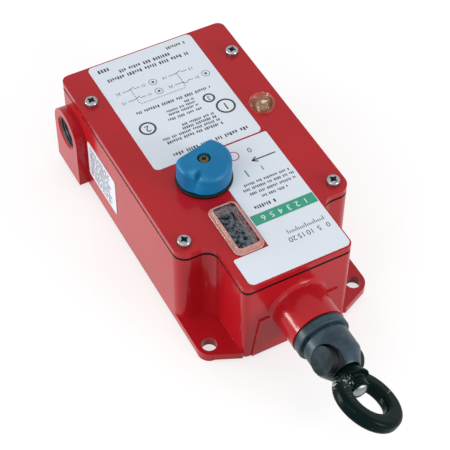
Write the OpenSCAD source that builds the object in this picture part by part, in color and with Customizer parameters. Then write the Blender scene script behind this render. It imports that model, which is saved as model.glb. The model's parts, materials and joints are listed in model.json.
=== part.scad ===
// Rope pull safety switch: a die-cast housing with a gasketed cover, a sprung
// pull rod with an eye nut, a lever knob that resets it, and two contact blocks.
// Frame: origin midway between the two front mounting holes on the mounting plane,
// +Y towards the rear, the rope end at -Y, +Z out of the mounting plane.

/* [Body] */
// Overall width of housing and cover
body_w = 100; // [96:1:120]
// Length from the nose face to the rear wall
body_l = 176; // [172:1:200]
// Width of the narrow nose
nose_w = 62; // [58:1:64]
// Length of the narrow nose, up to the shoulders
nose_l = 33; // [31:0.5:36]
// Height of the casting above its underside
housing_h = 52; // [51:0.5:58]
// Thickness of the casting walls
wall_t = 4; // [3:0.5:4.5]
// Thickness of the casting floor
floor_t = 4; // [3:0.5:5]
// Thickness of the cover plate
cover_t = 3.5; // [3:0.25:5]
// Thickness of the cover gasket
gasket_t = 1.6; // [1:0.1:2.5]
// Depth that the gasket edge lies back from the walls
gasket_inset = 0.8; // [0.4:0.1:1.2]
// Radius of the rear corners
rear_r = 4.5; // [3:0.5:8]
// Radius of the shoulder corners
shoulder_r = 7; // [5:0.5:9]
// Radius of the hollow corners between nose and shoulders
hollow_r = 7; // [5:0.5:8]
// Radius of the nose corners
nose_r = 4; // [3:0.5:6]

/* [Mounting] */
// Distance from the body's sides in to the front mounting holes
foot_inset = 6.7; // [6.4:0.1:8]
// Distance from the nose face back to the front holes
foot_setback = 13.4; // [12:0.2:16]
// Distance between the two rear mounting holes
ear_spacing = 48; // [40:1:56]
// Distance from the rear wall to the rear holes
ear_reach = 9; // [8:0.5:12]
// Radius of all mounting holes
foot_hole_r = 4.1; // [3.3:0.1:4.6]
// Thickness of feet and ears
foot_t = 4.4; // [3.5:0.1:6]
// Height of the pads under feet and ears
pad_h = 1.5; // [1:0.1:3]
// Radius of the pads
pad_r = 6.4; // [6:0.1:6.6]
// Radius of the outer corners of the front feet
foot_r = 8.5; // [8:0.1:9]
// Distance that the foot corners' centres lie behind the front holes
foot_corner_back = 1; // [0:0.5:2]

/* [Snout and boot] */
// Height of the rod axis above the mounting plane
axis_z = 30.5; // [29:0.5:32]
// Length of the snout in front of the nose face
snout_l = 20.6; // [18:0.2:24]
// Radius of the snout at its root
snout_root_r = 15.2; // [14.8:0.1:16]
// Radius of the snout at its tip
snout_tip_r = 14.8; // [14.2:0.1:15.2]
// Radius of the spigot that carries the boot
spigot_r = 10.4; // [9.5:0.1:11]
// Length of the spigot
spigot_l = 8.6; // [7:0.1:10]
// Radius of the boot collar
collar_r = 14.5; // [13.6:0.1:15]
// Width of the boot collar
collar_w = 5.6; // [4.5:0.1:7]
// Radius of the boot body
boot_r = 12.7; // [12.2:0.1:13.5]
// Length of the boot
boot_l = 27.2; // [26:0.2:30]
// Length of the boot's tapered front
boot_taper = 7.6; // [6:0.2:9]
// Radius of the round bosses on the boot's sides
boss_r = 7.2; // [6.6:0.1:7.4]
// Distance from the boot's back face to the middle of its bosses
boss_setback = 19.5; // [19:0.1:20]
// Distance from the boot's back face to the bottom of its bore
boot_bore_start = 12.6; // [12:0.1:14]

/* [Rod and eye] */
// Radius of the pull rod
rod_r = 4; // [3.5:0.1:4.5]
// Free travel of the pull rod
pull_travel = 12; // [8:0.5:12]
// Radius of the eye ring's centre line
eye_r = 14.45; // [13:0.1:16]
// Radial width of the eye ring
eye_w = 8.9; // [7:0.1:10]
// Thickness of the eye ring
eye_t = 7.3; // [6:0.1:8.5]
// Distance from the boot's front face to the eye centre
eye_reach = 18.7; // [18:0.1:24]
// Turn of the eye ring about the rod
eye_turn = 33.5; // [0:0.5:90]
// Length of rod that stands into the eye
rod_tip = 4; // [2:0.5:6]
// Coil radius of the main spring, at the wire centre
spring_coil_r = 8; // [7.5:0.25:10]
// Wire radius of the main spring
spring_wire_r = 1.1; // [0.8:0.1:1.4]
// Number of turns of the main spring
spring_turns = 9; // [6:1:11]
// Length of the main spring at rest
spring_l = 46; // [40:1:50]

/* [Knob] */
// Sideways place of the knob, from the middle plane
knob_x = -14.2; // [-17:0.1:-12]
// Distance from the tension pointer's hub back to the knob axis
knob_gap = 12.4; // [11:0.1:16]
// Radius of the knob
knob_r = 14.5; // [13:0.1:15]
// Height of the knob above the cover
knob_h = 15.5; // [13:0.5:18]
// Radius of the knob's rounded top edge
knob_round = 3; // [1.5:0.1:3.5]
// Half thickness of the knob's grip at its flat back
grip_half = 7.7; // [6.5:0.1:9]
// Direction of the grip at rest
grip_turn = 12.4; // [0:0.2:20]
// Radius of the knob shaft
shaft_r = 4; // [3.5:0.1:4.5]

/* [Window and lamp] */
// Width of the window lens
window_w = 16.8; // [14:0.2:18]
// Length of the window lens
window_l = 33.8; // [30:0.2:38]
// Sideways place of the window, from the middle plane
window_x = -16; // [-17:0.1:-15]
// Distance from the nose face back to the middle of the window
window_setback = 36.4; // [35:0.2:38]
// Height of the window lens above the cover
window_h = 3; // [2:0.25:4]
// Distance from the body's right side in to the pilot lens
lamp_inset = 11.8; // [11.4:0.1:13]
// Distance from the nose face back to the pilot lens
lamp_setback = 106.7; // [104:0.2:112]
// Radius of the pilot lens
lamp_r = 7.2; // [6:0.1:7.6]

/* [Conduit entry] */
// Radius of the conduit hole, before its thread is cut
entry_r = 9.25; // [8.5:0.05:9.6]
// Height of the conduit hole above the mounting plane
entry_z = 33; // [31:0.5:34]
// Distance from the conduit hole back to the rear wall
entry_setback = 16; // [15.5:0.5:20]
// Distance that the conduit boss stands out of the wall
entry_boss = 6; // [4:0.5:8]
// Radius of the conduit boss around its hole
entry_boss_r = 14.5; // [13:0.5:14.5]

/* [Fasteners and fits] */
// Radius of the cover screws' threads
screw_r = 2; // [1.5:0.1:2.2]
// Radius of the cover screws' heads
head_r = 3.65; // [3.3:0.05:4]
// Height of the cover screws' heads
head_h = 2.8; // [2:0.1:3.5]
// Distance from the body's sides in to the cover screws
screw_inset = 7; // [6:0.1:7.4]
// Distance from the nose face back to the front pair of cover screws
screw_setback_front = 40.5; // [40:0.5:44]
// Distance from the nose face back to the rear pair of cover screws
screw_setback_rear = 150; // [146:0.5:152]
// Running clearance of rod, shaft and plungers, on the radius
running_gap = 0.05; // [0.02:0.01:0.1]
// Gap between pieces that pass each other
free_gap = 0.3; // [0.3:0.05:0.6]
// Gap between pieces that are seated in one another
seat_gap = 0.05; // [0.02:0.01:0.1]

/* [Hidden] */

$fn = 64;
eps = 0.01;

// Main levels
underside = pad_h;
housing_top = pad_h + housing_h;
gasket_top = housing_top + gasket_t;
cover_top = gasket_top + cover_t;
floor_top = underside + floor_t;

// Main stations along the part
y_nose = -foot_setback;
y_step = y_nose + nose_l;
y_rear = y_nose + body_l;
y_snout = y_nose - snout_l;
y_boot_end = y_snout - boot_l;
y_bore = y_snout - boot_bore_start;
y_spigot = y_snout - spigot_l;
y_eye = y_boot_end - eye_reach;
nose_inner = y_nose + wall_t + 1;

// Stations of what the rod carries, from the snout bushing to the rod's rear end
bush_flange_t = 1.8;
seat_t = 3;
ring_t = 1.2;
ring_groove = 0.6;
pointer_hub_l = 5;
cam_l = 43;
cam_nut_l = 6.5;
guide_gap = 5;
guide_l = 8;
rod_spare = 3;
y_spring = nose_inner + bush_flange_t;
y_seat = y_spring + spring_l;
y_ring = y_seat + seat_t;
y_pointer = y_ring + ring_t;
y_cam = y_pointer + pointer_hub_l;
y_cam_end = y_cam + cam_l;
y_guide = y_cam_end + cam_nut_l + guide_gap;
y_rod_end = y_guide + guide_l + pull_travel + rod_spare;
y_rod_tip = y_eye + eye_r - eye_w / 2 - rod_tip;

// Places on the cover
screw_x = body_w / 2 - screw_inset;
lamp_x = body_w / 2 - lamp_inset;
y_knob = y_cam + knob_gap;
y_lamp = y_nose + lamp_setback;
y_window = y_nose + window_setback;

// Colours
red = "#ac2430";
black = "#20262a";
steel = "#b9bdc1";
zinc = "#8f9498";
brass = "#b8924a";
white = "#e8eef2";
blue = "#127cb2";

// Rectangle with round corners, front radius rf and back radius rb
module round_rect(x0, x1, y0, y1, rf, rb) {
    middle = (y1 - y0) / 2;
    translate([x0, y0 + rf]) square([x1 - x0, y1 - y0 - rf - rb]);
    translate([x0 + rf, y0]) square([x1 - x0 - 2 * rf, middle]);
    translate([x0 + rb, y0 + middle]) square([x1 - x0 - 2 * rb, middle]);
    for (x = [x0 + rf, x1 - rf]) translate([x, y0 + rf]) circle(r = rf);
    for (x = [x0 + rb, x1 - rb]) translate([x, y1 - rb]) circle(r = rb);
}

// Half section of a turned disc of radius r from h0 to h1, its rims rounded by ra and rb
module turned(r, h0, h1, ra, rb) {
    middle = (h1 - h0) / 2;
    translate([0, h0 + ra]) square([r, h1 - h0 - ra - rb]);
    translate([0, h0]) square([r - ra, middle]);
    translate([0, h0 + middle]) square([r - rb, middle]);
    intersection() {
        translate([0, h0]) square([r, h1 - h0]);
        union() {
            translate([r - ra, h0 + ra]) circle(r = ra);
            translate([r - rb, h1 - rb]) circle(r = rb);
        }
    }
}

// Plan outline of the body, moved in by i
module plan(i) {
    half = body_w / 2 - i;
    nose_half = nose_w / 2 - i;
    hollow = hollow_r + i;
    round_rect(-half, half, y_step + i, y_rear - i, max(shoulder_r - i, 0.5), max(rear_r - i, 0.5));
    round_rect(-nose_half, nose_half, y_nose + i, y_step + 2 * shoulder_r, max(nose_r - i, 0.5), 1);
    for (s = [-1, 1]) mirror([s < 0 ? 1 : 0, 0]) difference() {
        translate([nose_half - eps, y_step + i - hollow]) square(hollow + eps);
        translate([nose_half + hollow, y_step + i - hollow]) circle(r = hollow);
    }
}

// Puts its children at the four cover screws
module at_cover_screws() {
    for (x = [-screw_x, screw_x], y = [screw_setback_front, screw_setback_rear])
        translate([x, y_nose + y]) children();
}

// Cylinder along Y from y0 to y1 about the rod axis
module along_rod(y0, y1, r0, r1) {
    translate([0, y0, axis_z]) rotate([-90, 0, 0]) cylinder(h = y1 - y0, r1 = r0, r2 = r1);
}

// Ring along the rod axis from y0 to y1
module sleeve_along_rod(y0, y1, r_out, r_in) {
    difference() {
        along_rod(y0, y1, r_out, r_out);
        along_rod(y0 - 1, y1 + 1, r_in, r_in);
    }
}

// Shapes that point from the snout's tip towards the rope, drawn as half sections
module turned_on_snout() {
    translate([0, y_snout, axis_z]) rotate([90, 0, 0]) rotate_extrude() children();
}

// Pan-head screw, its head's seat at z = 0
module pan_screw(r, length, r_head, h_head) {
    translate([0, 0, -length]) cylinder(h = length + eps, r = r);
    rotate_extrude() turned(r_head, 0, h_head, 0.2, h_head * 0.45);
}

/* Casting */

// Lugs that take the cover screws
post_r = 5.2;
lug_h = 10.8;
tapped_depth = 10;
cover_screw_l = cover_t + gasket_t + 9;
foot_x = body_w / 2 - foot_inset;
foot_centre = [body_w / 2 - foot_r, foot_corner_back];
foot_from = [nose_w / 2, y_nose + 0.4];
foot_span = norm(foot_centre - foot_from);
foot_slope = atan2(foot_centre[1] - foot_from[1], foot_centre[0] - foot_from[0])
    - asin(foot_r / foot_span);
foot_tangent = foot_from + sqrt(foot_span ^ 2 - foot_r ^ 2) * [cos(foot_slope), sin(foot_slope)];

module front_foot_plan() {
    polygon([
        [nose_w / 2 - 2, foot_from[1] + 1], foot_from, foot_tangent, foot_centre,
        [body_w / 2, foot_centre[1]], [body_w / 2, y_step + shoulder_r],
        [nose_w / 2 - 2, y_step + shoulder_r]
    ]);
    translate(foot_centre) circle(r = foot_r);
}

ear_r = 8;
ear_y = y_rear + ear_reach;

module feet() {
    for (s = [0, 1]) mirror([s, 0, 0]) {
        translate([0, 0, underside]) linear_extrude(foot_t) front_foot_plan();
        translate([foot_x, 0, 0]) cylinder(h = pad_h + eps, r = pad_r);
        translate([ear_spacing / 2, ear_y, 0]) cylinder(h = pad_h + eps, r = pad_r);
        translate([ear_spacing / 2, ear_y, underside]) cylinder(h = foot_t, r = ear_r);
        translate([ear_spacing / 2 - ear_r, y_rear - 1, underside])
            cube([2 * ear_r, ear_reach + 1, foot_t]);
    }
}

module foot_holes() {
    for (s = [-1, 1]) {
        translate([s * foot_x, 0, -1]) cylinder(h = pad_h + foot_t + 2, r = foot_hole_r);
        translate([s * ear_spacing / 2, ear_y, -1])
            cylinder(h = pad_h + foot_t + 2, r = foot_hole_r);
    }
}

// Bore of the snout that holds the rod bushing
bush_r = 6.5;
root_fillet = 2.5;
// Raised panel on the nose face, under the snout
panel_t = 0.8;

module snout() {
    along_rod(y_snout, y_nose + wall_t, snout_tip_r, snout_root_r);
    along_rod(y_spigot, y_snout + 1, spigot_r, spigot_r);
    translate([0, y_nose, axis_z]) rotate([90, 0, 0]) rotate_extrude() difference() {
        square([snout_root_r + root_fillet, root_fillet]);
        translate([snout_root_r + root_fillet, root_fillet]) circle(r = root_fillet);
    }
    translate([0, y_nose + eps, 0]) rotate([90, 0, 0]) linear_extrude(panel_t) polygon([
        [-nose_w / 2 + 5, underside], [nose_w / 2 - 5, underside],
        [nose_w / 2 - 7.5, axis_z - 1.5], [-nose_w / 2 + 9, axis_z - 1.5]
    ]);
}

y_entry = y_rear - entry_setback;
entry_foot = underside + 2.2;
entry_mouth = 0.9;

module conduit_boss() {
    translate([-body_w / 2 - entry_boss, 0, 0]) rotate([90, 0, 90])
        linear_extrude(entry_boss + wall_t / 2) {
            translate([y_entry, entry_z]) circle(r = entry_boss_r);
            translate([y_entry - entry_boss_r, entry_foot])
                square([2 * entry_boss_r, entry_z - entry_foot]);
        }
}

module conduit_hole() {
    translate([-body_w / 2 - entry_boss, y_entry, entry_z]) rotate([0, 90, 0]) {
        translate([0, 0, -1]) cylinder(h = entry_boss + wall_t + 2, r = entry_r);
        translate([0, 0, -eps]) cylinder(h = entry_mouth, r1 = entry_r + entry_mouth, r2 = entry_r);
    }
}

// The plate that carries the mechanism
plate_t = 2;
plate_post_h = 4;
plate_post_r = 4;
plate_bottom = floor_top + plate_post_h;
plate_top = plate_bottom + plate_t;
plate_screw_inset = 4;
m3_r = 1.5;
m3_head_r = 2.8;
m3_head_h = 1.9;

module at_plate_screws() {
    for (x = [-plate_screw_x, plate_screw_x], y = [plate_y0, plate_y1 - 2 * plate_screw_inset])
        translate([x, y + plate_screw_inset]) children();
}

ground_x = body_w / 4;
ground_y = y_rear - 17;
ground_post_h = 5;
ground_post_r = 4.5;

module cavity() {
    intersection() {
        translate([0, 0, floor_top]) linear_extrude(housing_h) plan(wall_t);
        translate([-body_w / 2, nose_inner, 0]) cube([body_w, body_l, 2 * housing_top]);
    }
}

module posts() {
    translate([0, 0, housing_top - lug_h]) linear_extrude(lug_h) intersection() {
        at_cover_screws() circle(r = post_r);
        plan(0.5);
    }
    translate([0, 0, underside + 1]) linear_extrude(plate_bottom - underside - 1)
        at_plate_screws() circle(r = plate_post_r);
    translate([ground_x, ground_y, underside + 1])
        cylinder(h = floor_t + ground_post_h - 1, r = ground_post_r);
}

module housing() {
    color(red) difference() {
        union() {
            difference() {
                union() {
                    translate([0, 0, underside]) linear_extrude(housing_h) plan(0);
                    feet();
                    snout();
                    conduit_boss();
                }
                cavity();
            }
            posts();
        }
        foot_holes();
        conduit_hole();
        along_rod(y_spigot - 1, nose_inner + 1, bush_r + seat_gap, bush_r + seat_gap);
        translate([0, 0, housing_top - tapped_depth]) linear_extrude(tapped_depth + 1)
            at_cover_screws() circle(r = screw_r + seat_gap);
        translate([0, 0, floor_top]) linear_extrude(plate_post_h + 1)
            at_plate_screws() circle(r = m3_r + seat_gap);
        translate([ground_x, ground_y, floor_top])
            cylinder(h = ground_post_h + 1, r = screw_r + seat_gap);
    }
}

/* Cover and gasket */

module cover_gasket() {
    color(black) translate([0, 0, housing_top]) linear_extrude(gasket_t) difference() {
        union() {
            difference() {
                plan(gasket_inset);
                plan(wall_t);
            }
            intersection() {
                at_cover_screws() circle(r = post_r);
                plan(gasket_inset);
            }
        }
        at_cover_screws() circle(r = screw_r + free_gap);
    }
}

tab_l = 5;
y_tab = y_nose + screw_setback_rear - tab_l / 2;
rib_t = 1.6;
rib_h = 3;
knob_bush_r = 7;
lamp_stem_r = 5.3;
window_rim = 2.2;
window_open_w = window_w - 2 * window_rim;
window_open_l = window_l - 2 * window_rim;
window_r = 4;

module window_plan(grow) {
    x = window_open_w / 2 + grow;
    y = window_open_l / 2 + grow;
    translate([window_x, y_window]) round_rect(-x, x, -y, y, 1.8 + grow, 1.8 + grow);
}

module cover() {
    color(red) difference() {
        union() {
            translate([0, 0, gasket_top]) linear_extrude(cover_t) plan(0);
            translate([0, 0, gasket_top - rib_h]) linear_extrude(rib_h + 1) difference() {
                plan(wall_t + free_gap);
                plan(wall_t + free_gap + rib_t);
                at_cover_screws() circle(r = post_r + free_gap);
                translate([lamp_x, y_lamp]) circle(r = lamp_r + 1);
                translate([-body_w / 2, y_nose]) square([body_w, 2 * wall_t]);
            }
            // Small tab outside the gasket, which sets the cover's height on the casting
            translate([-body_w / 2, y_tab, housing_top]) cube([gasket_inset - 0.1, tab_l, gasket_t + 1]);
        }
        translate([0, 0, gasket_top - 1]) linear_extrude(cover_t + 2) {
            at_cover_screws() circle(r = screw_r + free_gap);
            translate([knob_x, y_knob]) circle(r = knob_bush_r + seat_gap);
            translate([lamp_x, y_lamp]) circle(r = lamp_stem_r + seat_gap);
            window_plan(seat_gap);
        }
    }
}

module cover_screws() {
    color(steel) translate([0, 0, cover_top]) at_cover_screws()
        pan_screw(screw_r, cover_screw_l, head_r, head_h);
}

/* Labels */

label_t = 0.3;
label_r = 3;

upper_label_x = [-screw_x + 8.7, lamp_x - lamp_r - 2.1];
lower_label_x = nose_w / 2 - 0.8;
label_split = y_knob + knob_r + 0.8;
side_label_l = 35;
side_label_h = 26;
side_label_z = 26.8;
// Distance from the side label's middle to the conduit hole
side_label_back = 34.6;

module upper_label() {
    color(white) translate([0, 0, cover_top]) linear_extrude(label_t)
        round_rect(upper_label_x[0], upper_label_x[1], label_split, y_rear - 1, label_r, label_r);
}

module lower_label() {
    y0 = y_nose + 1.2;
    window_edge = window_x + window_w / 2;
    color(white) translate([0, 0, cover_top]) linear_extrude(label_t) difference() {
        union() {
            round_rect(window_edge + 0.6, lower_label_x, y0, label_split - 1.2, label_r, 1);
            round_rect(4 - nose_w / 2, lower_label_x - 5, y0, y_window - window_l / 2 - 0.4, label_r, 1);
        }
        translate([knob_x, y_knob]) circle(r = seal_r + seat_gap);
    }
}

module side_label() {
    y = y_entry - side_label_back;
    color(white) translate([-body_w / 2 - label_t, 0, 0]) rotate([90, 0, 90])
        linear_extrude(label_t) round_rect(
            y - side_label_l / 2, y + side_label_l / 2,
            side_label_z - side_label_h / 2, side_label_z + side_label_h / 2, 1.5, 1.5);
}

/* Window and pilot light */

lens_wall = 1.3;
flange_t = 1.2;

module window_lens() {
    color("#dfe6e6", 0.35) difference() {
        union() {
            translate([0, 0, gasket_top]) linear_extrude(cover_t + 1) window_plan(0);
            translate([0, 0, cover_top]) linear_extrude(flange_t)
                translate([window_x, y_window]) round_rect(
                    -window_w / 2, window_w / 2, -window_l / 2, window_l / 2, window_r, window_r);
            translate([0, 0, cover_top]) linear_extrude(window_h) window_plan(0.6);
        }
        translate([0, 0, gasket_top - 1]) linear_extrude(cover_t + window_h + 1 - lens_wall)
            window_plan(-lens_wall);
    }
}

lens_h = 5;
lamp_body_r = 3.8;
lamp_body_l = 17;

module pilot_lens() {
    color("#dfe6e0", 0.4) translate([lamp_x, y_lamp, 0]) difference() {
        union() {
            translate([0, 0, gasket_top - 4.2]) cylinder(h = cover_t + 5, r = lamp_stem_r);
            translate([0, 0, cover_top]) rotate_extrude() turned(lamp_r, 0, lens_h, 0.3, lens_h - 0.8);
        }
        translate([0, 0, gasket_top - 5])
            cylinder(h = cover_t + 5 + lens_h - 2, r = lamp_body_r + free_gap);
    }
}

module pilot_lamp() {
    color(steel) translate([lamp_x, y_lamp, cover_top + 2.2 - lamp_body_l]) {
        cylinder(h = lamp_body_l - lamp_body_r, r = lamp_body_r);
        translate([0, 0, lamp_body_l - lamp_body_r]) sphere(r = lamp_body_r);
        translate([0, 0, -3]) cylinder(h = 3 + eps, r = lamp_body_r - 1);
        cylinder(h = 3, r = lamp_stem_r);
    }
}

module lamp_nut() {
    color(black) translate([lamp_x, y_lamp, gasket_top - 3]) difference() {
        cylinder(h = 3, r = lamp_r, $fn = 6);
        translate([0, 0, -1]) cylinder(h = 5, r = lamp_stem_r + seat_gap);
    }
}

/* Snout fittings */

bush_flange_r = 9;

module rod_bushing() {
    color(brass) difference() {
        union() {
            along_rod(y_spigot, nose_inner + eps, bush_r, bush_r);
            along_rod(nose_inner, nose_inner + bush_flange_t, bush_flange_r, bush_flange_r);
        }
        along_rod(y_spigot - 1, nose_inner + 9, rod_r + running_gap, rod_r + running_gap);
    }
}

boot_groove = 1.2;
boot_tip_r = 8.4;
lock_nut_r = 6.93;
boot_bore_r = lock_nut_r + free_gap;
// The bosses stand in hollows that leave a dark crescent beside them
hollow_floor = boot_bore_r + 0.7;
hollow_pocket_r = boss_r + 1;
crescent = 1;

module boot_profile() {
    turned(collar_r, 0, collar_w, 1, 0.7);
    turned(boot_r - 0.8, 0, collar_w + boot_groove + 1, 0.1, 0.1);
    polygon([
        [0, collar_w], [boot_r - 0.4, collar_w + boot_groove], [boot_r, collar_w + boot_groove + 0.4],
        [boot_r, boot_l - boot_taper - 0.8], [boot_r - 0.4, boot_l - boot_taper + 0.4],
        [boot_tip_r, boot_l - 0.8], [boot_tip_r - 0.8, boot_l], [0, boot_l]
    ]);
}

// Puts its children on the boot's two sides, their Z outwards from the rod axis
module on_boot_sides() {
    for (side = [-90, 90]) translate([0, y_snout - boss_setback, axis_z])
        rotate([0, eye_turn + side, 0]) children();
}

module boot() {
    color("#2d3c44") difference() {
        union() {
            difference() {
                turned_on_snout() boot_profile();
                on_boot_sides() translate([crescent, -crescent, hollow_floor])
                    cylinder(h = boot_r, r = hollow_pocket_r);
            }
            on_boot_sides() translate([0, 0, hollow_floor - 0.3])
                cylinder(h = boot_r - hollow_floor, r = boss_r);
        }
        turned_on_snout() translate([0, -1]) square([spigot_r + seat_gap, spigot_l + 1 + seat_gap]);
        along_rod(y_boot_end - 1, y_bore, boot_bore_r, boot_bore_r);
        along_rod(y_boot_end - 1, y_snout + 1, rod_r + free_gap, rod_r + free_gap);
    }
}

/* Pull rod and what it carries */

nut_r = 7.5;
rod_chamfer = 0.8;

module pull_rod() {
    color(steel) difference() {
        union() {
            along_rod(y_rod_tip + rod_chamfer, y_rod_end - rod_chamfer, rod_r, rod_r);
            along_rod(y_rod_tip, y_rod_tip + rod_chamfer, rod_r - rod_chamfer, rod_r);
            along_rod(y_rod_end - rod_chamfer, y_rod_end, rod_r, rod_r - rod_chamfer);
        }
        sleeve_along_rod(y_ring, y_ring + ring_t, rod_r + 1, rod_r - ring_groove);
    }
}

module retaining_ring() {
    color(steel) sleeve_along_rod(y_ring, y_ring + ring_t, rod_r + 2.5, rod_r - ring_groove + seat_gap);
}

seat_rim_r = spring_coil_r + spring_wire_r + 1.5;
seat_hub_r = spring_coil_r - spring_wire_r - 0.4;
seat_hub_l = 4;

module spring_seat() {
    color(zinc) difference() {
        union() {
            along_rod(y_seat, y_ring, seat_rim_r, seat_rim_r);
            along_rod(y_seat - seat_hub_l, y_ring, seat_hub_r, seat_hub_r);
        }
        along_rod(y_seat - 2 * seat_hub_l, y_ring + 1, rod_r + seat_gap, rod_r + seat_gap);
    }
}

// The main spring: a helix with closed ends, swept as a mesh
spring_steps = 16;
spring_sides = 8;
spring_rings = spring_turns * spring_steps;
closed_turns = 0.9;

function spring_rise(turn) =
    let (free = spring_turns - 2 * closed_turns, pitch = 2 * spring_wire_r + 0.15)
    let (open = spring_l - 2 * spring_wire_r - 0.1 - 2 * closed_turns * pitch)
    turn < closed_turns ? turn * pitch
    : turn > spring_turns - closed_turns ? closed_turns * pitch + open
        + (turn - spring_turns + closed_turns) * pitch
    : closed_turns * pitch + open * (turn - closed_turns) / free;

function spring_point(i, j) =
    let (turn = i / spring_steps, a = 360 * turn, b = 360 * j / spring_sides)
    let (r = spring_coil_r + spring_wire_r * cos(b))
    [r * cos(a), spring_wire_r + 0.05 + spring_rise(turn) + spring_wire_r * sin(b), r * sin(a)];

module main_spring() {
    last = spring_rings;
    points = [for (i = [0:last], j = [0:spring_sides - 1]) spring_point(i, j)];
    faces = concat(
        [[for (j = [0:spring_sides - 1]) j]],
        [[for (j = [spring_sides - 1:-1:0]) last * spring_sides + j]],
        [for (i = [0:last - 1], j = [0:spring_sides - 1])
            let (k = (j + 1) % spring_sides, a = i * spring_sides, b = a + spring_sides)
            [a + j, b + j, b + k, a + k]]
    );
    color(steel) translate([0, y_spring, axis_z]) polyhedron(points, faces, convexity = 10);
}

neck_r = 6.4;
neck_flare = 2.6;
// Boss inside the ring, around the rod's end
inner_boss_r = 5.4;
ring_round = 2.5;

module eye_nut() {
    color(black) difference() {
        union() {
            translate([0, y_eye, axis_z]) rotate([0, eye_turn, 0]) rotate_extrude() round_rect(
                eye_r - eye_w / 2, eye_r + eye_w / 2, -eye_t / 2, eye_t / 2, ring_round, ring_round);
            along_rod(y_eye + eye_r - 1, y_lock, neck_r, neck_r);
            along_rod(y_eye + eye_r - 2, y_boot_end - free_gap, neck_r + neck_flare, neck_r);
            along_rod(y_rod_tip + 0.4, y_eye + eye_r, inner_boss_r, inner_boss_r);
        }
        along_rod(y_eye, y_lock + lock_nut_l, rod_r + seat_gap, rod_r + seat_gap);
    }
}

// The neck and the small lock nut behind it stand in the boot's bore
lock_nut_l = 4.5;
neck_depth = 2.9;
y_lock = y_boot_end + neck_depth;

module lock_nut() {
    color(steel) difference() {
        translate([0, y_lock, axis_z]) rotate([0, eye_turn, 0]) rotate([-90, 0, 0])
            cylinder(h = lock_nut_l, r = lock_nut_r, $fn = 6);
        along_rod(y_lock - 1, y_lock + lock_nut_l + 1, rod_r + seat_gap, rod_r + seat_gap);
    }
}

pointer_z = gasket_top - 4.6;
pointer_hub_r = 7.8;
pointer_bar_w = 6.5;
pointer_bar_h = 2.6;
pointer_l = 33;

module tension_pointer() {
    color(black) difference() {
        union() {
            along_rod(y_pointer, y_cam, pointer_hub_r, pointer_hub_r);
            translate([0, y_cam, 0]) rotate([90, 0, 0]) linear_extrude(pointer_hub_l) polygon([
                [-6, axis_z - 4], [6, axis_z + 4], [window_x + pointer_bar_w / 2, pointer_z + 1],
                [window_x - pointer_bar_w / 2, pointer_z + 1]
            ]);
            translate([window_x - pointer_bar_w / 2, y_cam - pointer_l, pointer_z])
                cube([pointer_bar_w, pointer_l, pointer_bar_h]);
        }
        along_rod(y_pointer - 1, y_cam + 1, rod_r + seat_gap, rod_r + seat_gap);
    }
}

cam_h = 16;
cam_low = 7.4;
cam_slope = 0.2;
y_plunger = y_cam + 21;
y_ramp = y_plunger - 6;
ramp_l = pull_travel + 10;
cam_high = cam_low + cam_slope * ramp_l;

module cam_sleeve() {
    color("#d8d4c8") difference() {
        translate([0, 0, axis_z - cam_h / 2]) linear_extrude(cam_h) polygon([
            [cam_low, y_cam], [cam_low, y_ramp], [cam_high, y_ramp + ramp_l], [cam_high, y_cam_end],
            [-cam_high, y_cam_end], [-cam_high, y_ramp + ramp_l], [-cam_low, y_ramp], [-cam_low, y_cam]
        ]);
        along_rod(y_cam - 1, y_cam_end + 1, rod_r + seat_gap, rod_r + seat_gap);
    }
}

module cam_nut() {
    color(steel) difference() {
        translate([0, y_cam_end, axis_z]) rotate([-90, 0, 0])
            cylinder(h = cam_nut_l, r = nut_r, $fn = 6);
        along_rod(y_cam_end - 1, y_cam_end + cam_nut_l + 1, rod_r + seat_gap, rod_r + seat_gap);
    }
}

/* Mechanism plate, contact blocks and rear guide */

block_x = 15;
block_w = 24;
block_l = 36;
block_h = 30;
block_top = plate_top + block_h;
block_y0 = y_plunger - block_l / 2;
block_r = 1.5;
block_screw_inset = 4;
block_screw_grip = 4;
terminal_inset = 6;
terminal_y = 12;
terminal_screw_l = 5;
terminal_head_h = 1.8;
wire_slot_w = 4;
plunger_r = 3;
plunger_depth = 19;
terminal_r = 2.6;
pocket_r = 3.4;
pocket_depth = 3.2;

plate_y0 = block_y0 - 9;
plate_y1 = y_guide + guide_l + 6;
plate_half = block_x + block_w + 1.4;
plate_screw_x = plate_half - 6.4;

module base_plate() {
    color(zinc) difference() {
        translate([0, 0, plate_bottom]) linear_extrude(plate_t)
            round_rect(-plate_half, plate_half, plate_y0, plate_y1, 3, 3);
        translate([0, 0, plate_bottom - 1]) linear_extrude(plate_t + 2) {
            at_plate_screws() circle(r = m3_r + seat_gap);
            at_block_screws() circle(r = m3_r + seat_gap);
            at_guide_screws() circle(r = m3_r + seat_gap);
        }
    }
}

module plate_screws() {
    color(steel) translate([0, 0, plate_top]) at_plate_screws()
        pan_screw(m3_r, plate_t + plate_post_h - 0.5, m3_head_r, m3_head_h);
}

// These come up through the plate into the blocks
module block_screws() {
    color(steel) translate([0, 0, plate_bottom]) mirror([0, 0, 1]) at_block_screws()
        pan_screw(m3_r, plate_t + block_screw_grip, m3_head_r, m3_head_h);
}

module at_block_screws() {
    for (x = [-1, 1], y = [-1, 1])
        translate([x * (block_x + block_w / 2), y_plunger + y * (block_l / 2 - block_screw_inset)])
            children();
}

module at_terminals() {
    for (x = [terminal_inset, block_w - terminal_inset], y = [-terminal_y, terminal_y])
        translate([block_x + x, y_plunger + y]) children();
}

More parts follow.
